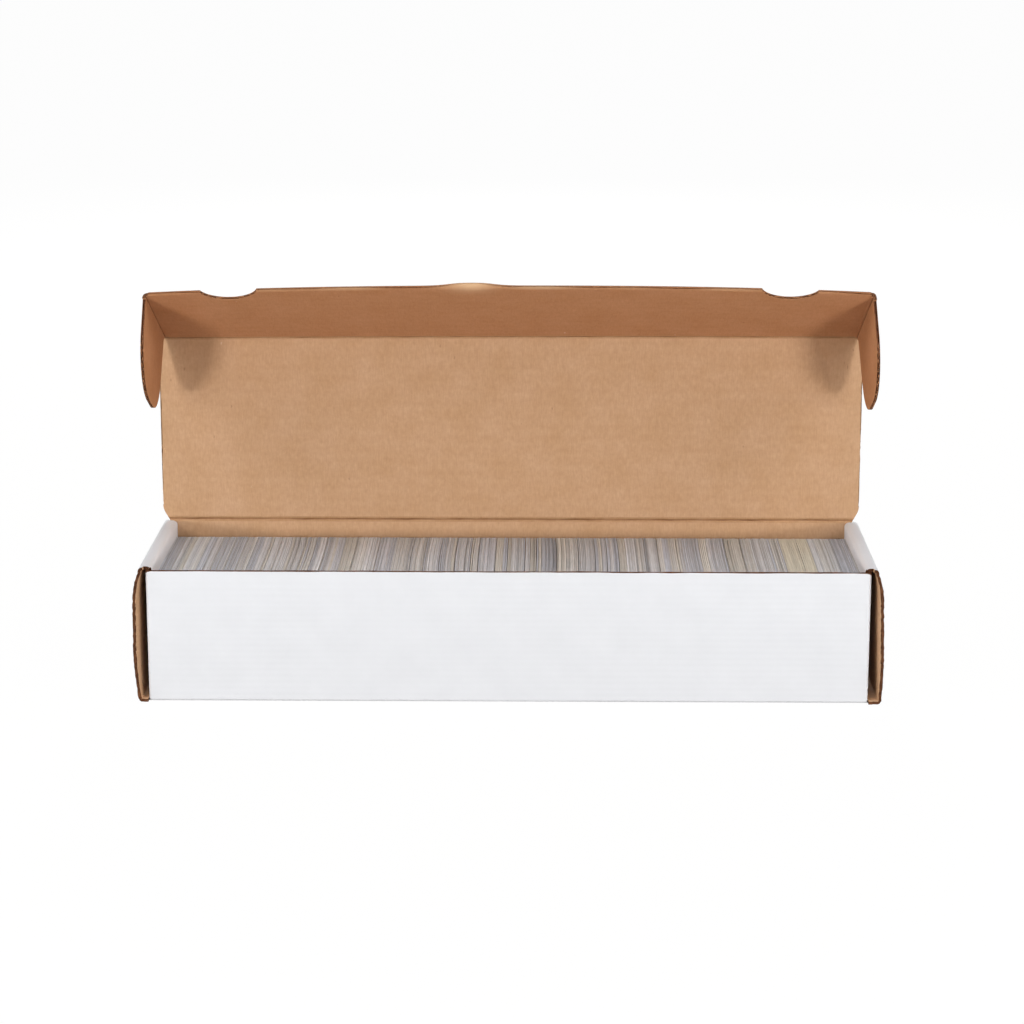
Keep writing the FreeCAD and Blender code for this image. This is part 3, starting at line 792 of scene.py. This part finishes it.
def settle(piece, flap=True):
    """Lets the fold and the flap's free edge rise, the bruise curl and the flap's ends flare."""
    for vertex in piece.data.vertices:
        point = vertex.co.copy()
        up = min(1, max(0, (point - hinge).dot(lid_way) / (fold - hinge).length))
        out = max(0, (point - fold).dot(flap_way) / flap_length)
        vertex.co.z += fold_rise(point.x, up) * (1 - out) + flap_rise(point.x) * out
        end = max(0, FLAP_CURL_WIDTH - (1 - out) * flap_length)
        curl = math.radians(FLAP_CURL) * math.exp(-((point.x - FLAP_CURL_AT) / FLAP_CURL_SPREAD) ** 2)
        curl *= end / FLAP_CURL_WIDTH
        deep = (point - fold).dot(ear_way)
        vertex.co += flap_way * (deep * math.sin(curl) - end * (1 - math.cos(curl)))
        vertex.co -= ear_way * (end * math.sin(curl) + deep * (1 - math.cos(curl)))
        if flap:
            vertex.co.x += flap_flare(out) * point.x / ear_axis_x


def settle_ear(piece, name, side):
    """Lets an ear lean outwards from its crease, which flares and rises with the flap."""
    for vertex in piece.data.vertices:
        point = vertex.co.copy()
        out = (point - fold).dot(flap_way) / flap_length
        down = max(0, (point - fold).dot(ear_way))
        rise = fold_rise(point.x) * (1 - out) + flap_rise(point.x) * out
        vertex.co.z += rise * max(0, 1 - down / CREASE_REACH)
        vertex.co.x += side * flap_flare(out)
        vertex.co.x += side * down * math.tan(math.radians(EAR_LEAN[name]))


def lid_board():
    """The lid, with its two corners beside the hinge cut back, and its side edges ragged."""
    lid = fluted_board("lid_board", 2 * lid_half + BLANK_SPARE, LID_BLANK, 36, 32)
    place_board(lid, (hinge + fold) / 2, RIGHT, lid_way)
    inside = RIGHT.cross(lid_way)
    cut_to_outline(lid, "lid_panel", inside,
                   lambda middle: LID_CORNER_ZONE[0] < middle.z - hinge.z < LID_CORNER_ZONE[1])
    for vertex in lid.data.vertices:
        if abs(vertex.co.x) > lid_half - AT_CUT:
            vertex.co.x -= math.copysign(draws.uniform(0, LID_RAGGED), vertex.co.x)
    lay_flat(lid, RIGHT, lid_way)
    finish_board(lid, -inside, folded=0.9, middle=hinge)
    settle(lid, flap=False)
    hand_over(lid, "lid", "lid_panel")


def crush_at(x):
    """How much of the full crushing the flap's free edge has there: it comes and goes along the edge."""
    return 0.6 + 0.4 * math.sin(x / (11 * MM)) * math.sin(x / (27 * MM) + 1)


def front_flap_board():
    """The front flap, its free edge crushed by the die, and curled up and painted paler where it was bruised:
    partly wear, partly painted light.
    """
    flap = fluted_board("lid_front_flap_board", 2 * flap_half + BLANK_SPARE, FLAP_BLANK, 48)
    place_board(flap, fold + flap_way * FLAP_MIDDLE, RIGHT, flap_way)
    inside = RIGHT.cross(flap_way)
    cut_to_outline(flap, "lid_front_flap", inside)
    edit(flap)
    for width in (FLAP_CRUSH_WIDTH / 2, FLAP_CRUSH_WIDTH, 0.7 * FLAP_CURL_WIDTH, FLAP_CURL_WIDTH):
        cut_across(fold + flap_way * (flap_length - width), flap_way)
    for step in range(-12, 13):
        cut_across((FLAP_CURL_AT + step * FLAP_CURL_SPREAD / 6, 0, 0), RIGHT)
    bpy.ops.mesh.select_all(action="SELECT")
    bpy.ops.mesh.quads_convert_to_tris(quad_method="FIXED", ngon_method="BEAUTY")
    leave()
    lay_flat(flap, RIGHT, flap_way)
    # Its brown side is the darker kraft copy: painted shade.
    finish_board(flap, -inside, folded=0.9, materials=PAINTED_SHADE_FINISH, middle=fold)
    for face in flap.data.polygons:
        if face.material_index == CUT and abs(face.center.x - FLAP_CURL_AT) < 1.5 * FLAP_CURL_SPREAD:
            face.material_index = TORN
    # The bruise, and a thin fringe where the edge was crushed most, are painted paler: partly worn paper,
    # partly painted light where the board turns towards the lamps.
    wear_and_light = flap.data.attributes.new("wear_and_light", "FLOAT", "POINT")
    for vertex in flap.data.vertices:
        left = flap_length - (vertex.co - fold).dot(flap_way)
        bruise = math.exp(-((vertex.co.x - FLAP_CURL_AT) / FLAP_CURL_SPREAD) ** 2)
        fringe = max(0, 1.6 * (crush_at(vertex.co.x) - 0.4)) * (1 - (vertex.co.x / flap_half) ** 2)
        wear_and_light_share = max(bruise * (1.1 - 0.6 * left / FLAP_CURL_WIDTH),
                   fringe * (1 - 0.6 * left / FLAP_CRUSH_WIDTH))
        wear_and_light.data[vertex.index].value = min(1, max(0, wear_and_light_share))
    for vertex in flap.data.vertices:
        near = max(0, 1 - (flap_length - (vertex.co - fold).dot(flap_way)) / FLAP_CRUSH_WIDTH)
        proud = BOARD / 2 + (vertex.co - fold).dot(inside)
        vertex.co -= inside * proud * near * crush_at(vertex.co.x) * (1 - FLAP_CRUSH)
    settle(flap)
    smooth(flap)
    hand_over(flap, "front_flap", "lid_front_flap")


def ear_board(name, side):
    """A locking ear, with its flutes running down it from the flap."""
    ear = fluted_board(f"{name}_ear_board", EAR_BLANK_LENGTH, EAR_BLANK, 10)
    middle = fold + flap_way * FLAP_MIDDLE + ear_way * EAR_MIDDLE + RIGHT * side * ear_axis_x
    place_board(ear, middle, ear_way * side, flap_way)
    inside = (ear_way * side).cross(flap_way)
    cut_to_outline(ear, f"{name}_ear", inside)
    lay_flat(ear, ear_way, flap_way)
    # Its brown side is the darker kraft copy: painted shade.
    finish_board(ear, -inside, folded=0.9, materials=PAINTED_SHADE_FINISH[:TORN], middle=middle)
    settle_ear(ear, name, side)
    hand_over(ear, f"{name}_ear", f"{name}_ear")


lid_board()
front_flap_board()
for name, side in SIDES.items():
    ear_board(name, side)


# Creases: the board crushed along a score, bending between the two panels it joins


def crease_skin(name, start, corner, end, along, length, inside, columns, longer=0, liner=CREASE_KRAFT_WITH_PAINTED_SHADE):
    """A strip of crushed board from one panel to the next, pinched on its brown side,
    and longer at its end where the second panel is."""
    strip = add_sheet(name, 1, 1, columns, 10)
    rows = []
    for vertex in strip.data.vertices:
        share = vertex.co.y + 0.5
        run = vertex.co.x * (length + longer * share)
        bend = start * (1 - share) ** 2 + corner * 2 * share * (1 - share) + end * share ** 2
        rows.append((run, share))
        vertex.co = bend + along * run
    core = [vertex.co.copy() for vertex in strip.data.vertices]
    apply_modifier(strip, "SOLIDIFY", thickness=BOARD + 2 * CREASE_PROUD, offset=0)
    face_outwards(strip)
    count = len(rows)
    width = (corner - start).length + (end - corner).length
    pattern = strip.data.uv_layers.get("board") or strip.data.uv_layers.new(name="board")
    for loop in strip.data.loops:
        run, share = rows[loop.vertex_index % count]
        pattern.data[loop.index].uv = (run, (share - 0.5) * width)
    # The strip's brown side is darker along the score: partly crushed paper, partly painted shade.
    finish_board(strip, -inside, folded=0.3, materials=(WHITE, liner, EDGE))
    for index, vertex in enumerate(strip.data.vertices):
        share = rows[index % count][1]
        if (vertex.co - core[index % count]).dot(inside) > 0:
            vertex.co -= inside * CREASE_PINCH * math.exp(-((share - 0.5) / CREASE_PINCH_SPREAD) ** 2)
    return strip


start, end = Vector((0, hinge.y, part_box("back_wall")[1].z)), hinge + lid_way * CREASE_REACH
strip = crease_skin("lid_crease_board", start, hinge, end, RIGHT, 2 * crease_half, -BACK, 60, 2 * LID_FOOT)
hand_over_crease(strip, "lid_crease")

start, end = fold - lid_way * CREASE_REACH, fold + flap_way * CREASE_REACH
inside = (RIGHT.cross(lid_way) + RIGHT.cross(flap_way)).normalized()
strip = crease_skin("flap_crease_board", start, fold, end, RIGHT, 2 * ear_axis_x, inside, 48)
settle(strip)
hand_over_crease(strip, "flap_crease")

for name, side in SIDES.items():
    start, stop = EAR_CREASE_SHORT[0], flap_length - EAR_CREASE_SHORT[1]
    root = fold + flap_way * (start + stop) / 2 + RIGHT * side * ear_axis_x
    inside = (RIGHT.cross(flap_way) - RIGHT * side).normalized()
    lap = CREASE_REACH + CREASE_LAP
    # The ear creases take the darker kraft copy with a darker score: painted shade, partly crushed paper.
    strip = crease_skin(f"{name}_ear_crease_board", root - RIGHT * side * lap, root,
                        root + ear_way * lap, flap_way, stop - start, inside, 16, liner=EAR_CREASE_KRAFT_WITH_PAINTED_SHADE)
    settle_ear(strip, name, side)
    hand_over_crease(strip, f"{name}_ear_crease")


# Cards: eight hundred, standing in packs of fifty

CARD_TINTS = ("#D0D4D9", "#CDD2DB", "#C5CCD8", "#D7D9D9", "#CACDD2", "#D9DDE2", "#C0C6D0", "#D6D6D1")
# A card's tone varies at random; the darkest steps are painted shade in the gaps between cards.
CARD_TONES_AND_GAP_SHADE = (0.65, 0.85, 0.95, 1, 1, 1, 1.05, 1.15)
CREAM_RUN = (150 * MM, 166 * MM, "#D9D6C6")  # one long run from a set with cream backs
RUN_LENGTHS = (2, 3, 4, 6, 9, 14)
RUN_GAPS = (0.1, 0.2, 0.4)    # gaps in mm before a new run, and between the cards of one run
CARD_GAPS = (0.0, 0.02, 0.05, 0.15)


def card_blank(width, height):
    """One card standing along the box's depth, with rounded corners, its face towards +X."""
    bpy.ops.object.select_all(action="DESELECT")
    bpy.ops.mesh.primitive_plane_add(size=1, rotation=(0, math.radians(90), 0))
    bpy.ops.object.transform_apply(location=True, rotation=True, scale=True)
    blank = start_piece("card_blank", (1, width, height), (0, 0, 0))
    edit(blank)
    bpy.ops.mesh.bevel(offset=CARD_CORNER, segments=3, affect="VERTICES")
    bpy.ops.mesh.select_all(action="SELECT")
    bpy.ops.mesh.extrude_region_move(TRANSFORM_OT_translate={"value": (1, 0, 0)})
    for cut in (-0.25, 0, 0.25):
        cut_across((0, cut * width, 0), BACK)
    bpy.ops.mesh.select_all(action="SELECT")
    bpy.ops.mesh.normals_make_consistent(inside=False)
    leave()
    lay_flat(blank, BACK, UP)
    blank.data.materials.append(CARD_EDGES)
    blank.data.materials.append(CARD_FACE)
    for face in blank.data.polygons:
        face.material_index = 1 if abs(face.normal.x) > 0.9 else 0
    return blank


def card_pack(number, blank, run):
    """Fifty cards with small gaps, in runs of one tint as they came from their sets, some darker or paler;
    the darkest stand in as painted shade between cards.
    """
    node = f"card_pack_{number:02d}"
    low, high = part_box(node)
    width = high.x - low.x
    gaps, thicks, tints, backs, rises = [], [], [], [], []
    for _ in range(CARDS_IN_PACK):
        if run["left"] == 0:
            run["left"] = draws.choice(RUN_LENGTHS)
            run["tint"] = hex_colour(draws.choice(CARD_TINTS))
            gaps.append(draws.choice(RUN_GAPS))
        else:
            gaps.append(draws.choice(CARD_GAPS))
        # About every third card starts a clump that stands further back or higher, and darker or paler.
        if draws.random() < 0.35:
            run["back"] = draws.uniform(0, 0.2) * MM
            run["rise"] = draws.uniform(0.35, 0.55) * MM
            run["level"] = draws.uniform(0.8, 1.06)
        run["left"] -= 1
        thicks.append(draws.uniform(*CARD_THICKNESS))
        # The darkest of these steps are painted shade between cards.
        level = run["level"] * draws.choice(CARD_TONES_AND_GAP_SHADE)
        tints.append([c * level for c in run["tint"][:3]] + [1])
        backs.append(run["back"] + draws.uniform(0, 0.12) * MM)
        rises.append(run["rise"] + draws.uniform(0, 0.08) * MM)
    share = width / (sum(gaps) + sum(thicks))
    middle = (low + high) / 2
    x, cards = low.x, []
    for gap, thick, tint, back, rise in zip(gaps, thicks, tints, backs, rises):
        x += gap * share
        card = bpy.data.objects.new("card", blank.data.copy())
        bpy.context.scene.collection.objects.link(card)
        for vertex in card.data.vertices:
            bow = CARD_BOW * math.sin(x / CARD_BOW_LENGTH * 2 * math.pi) * (1 - (x / CARD_ROW_HALF) ** 4)
            curve = 1 - (vertex.co.y / (high.y - middle.y)) ** 2
            vertex.co = (x + vertex.co.x * thick * share * CARD_FILL + bow * curve,
                         middle.y + vertex.co.y - back, middle.z + vertex.co.z + rise)
        if CREAM_RUN[0] < x < CREAM_RUN[1]:
            tint = hex_colour(CREAM_RUN[2])
        colour = card.data.color_attributes.new("edge_tint", "FLOAT_COLOR", "POINT")
        for value in colour.data:
            value.color = tint
        x += thick * share
        cards.append(card)
    pack = join(*cards)
    pack.name = pack.data.name = f"{node}_cards"
    hand_over(pack, node, node)


card_low, card_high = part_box("card_pack_01")
blank = card_blank(card_high.y - card_low.y, card_high.z - card_low.z)
run = {"left": 0, "back": 0, "rise": 0.45 * MM, "level": 1}
for number in range(1, CARD_PACKS + 1):
    card_pack(number, blank, run)
bpy.data.objects.remove(blank)


# Studio: a pale floor, soft light from both front sides, and the photograph's camera


def seen_directly(material):
    """1 where the camera, a gloss or glass shows it, and 0 where it lights the object."""
    rays = add_node(material, "ShaderNodeLightPath", {})
    seen = rays.outputs["Is Camera Ray"]
    for kind in ("Is Glossy Ray", "Is Transmission Ray"):
        seen = add_node(material, "ShaderNodeMath", {0: seen, 1: rays.outputs[kind]},
                        operation="MAXIMUM").outputs[0]
    return seen


def studio_floor():
    """A pale paper floor. Seen directly it is nearly white, and it keeps a trace of the shadow."""
    bpy.ops.object.select_all(action="DESELECT")
    bpy.ops.mesh.primitive_plane_add(size=80, location=(0, 0, -0.3 * MM))
    floor = bpy.context.active_object
    floor.name = "studio_floor"
    material = new_material("matt_white_paper_floor")
    share = add_node(material, "ShaderNodeMath", {0: seen_directly(material), 1: 0.95}, operation="MULTIPLY")
    paper = add_node(material, "ShaderNodeBsdfDiffuse", {"Color": hex_colour("#B4AFAA")})
    glow = add_node(material, "ShaderNodeEmission", {"Color": (1, 1, 1, 1), "Strength": 1.03})
    mixed_light = add_node(material, "ShaderNodeMixShader",
                           {0: share.outputs[0], 1: paper.outputs[0], 2: glow.outputs[0]})
    add_node(material, "ShaderNodeOutputMaterial", {"Surface": mixed_light.outputs[0]})
    floor.data.materials.append(material)


# Each lamp's place in metres, its power in watts, and its width and height in metres.
LAMPS = {
    "left_low_softbox": ((-0.55, -0.78, 0.112), 2.65, 0.15, 0.06),
    "right_low_softbox": ((0.55, -0.78, 0.112), 2.65, 0.15, 0.06),
    "left_high_softbox": ((-0.55, -0.78, 0.32), 1.0, 0.15, 0.14),
    "right_high_softbox": ((0.55, -0.78, 0.32), 1.0, 0.15, 0.14),
    "left_side_softbox": ((-1.4, -0.5, 1.2), 11, 0.9, 0.9),
    "right_side_softbox": ((1.4, -0.5, 1.2), 11, 0.9, 0.9),
    "overhead_softbox": ((0, -0.4, 2.2), 13, 1.2, 1.2),
    "front_top_softbox": ((0, -1.5, 1.3), 0.8, 1.0, 1.0),
    "back_fill": ((0, 1.9, 0.9), 24, 0.4, 0.8),
}
LAMP_AIM = Vector((0, 0, 0.1))


def studio_light():
    """A white surround that is seen but lights little, and lamps that all face the box."""
    world = bpy.data.worlds.new("white_studio")
    bpy.context.scene.world = world
    world.use_nodes = True
    world.node_tree.nodes.clear()
    level = add_node(world, "ShaderNodeMapRange",
                     {"Value": seen_directly(world), "To Min": 0.05, "To Max": 1.0})
    light = add_node(world, "ShaderNodeBackground", {"Color": (1, 1, 1, 1), "Strength": level.outputs[0]})
    add_node(world, "ShaderNodeOutputWorld", {"Surface": light.outputs[0]})
    for name, (place, power, width, height) in LAMPS.items():
        data = bpy.data.lights.new(name, "AREA")
        data.shape = "RECTANGLE"
        data.energy, data.size, data.size_y = power, width, height
        lamp = bpy.data.objects.new(name, data)
        bpy.context.scene.collection.objects.link(lamp)
        lamp.location = place
        lamp.rotation_euler = (LAMP_AIM - Vector(place)).to_track_quat("-Z", "Y").to_euler()


def photograph_camera():
    """The photograph's view, matched to the box's corners: a long lens, a little above the box."""
    data = bpy.data.cameras.new("camera")
    data.sensor_width, data.lens = 36, 99.14
    data.clip_end = 50
    camera = bpy.data.objects.new("camera", data)
    bpy.context.scene.collection.objects.link(camera)
    camera.location = (0.02108, -1.49277, 0.45492)
    camera.rotation_euler = (math.radians(90 - 13.654), 0, math.radians(0.751))
    bpy.context.scene.camera = camera


studio_floor()
studio_light()
photograph_camera()
bpy.context.scene.view_settings.view_transform = "Standard"
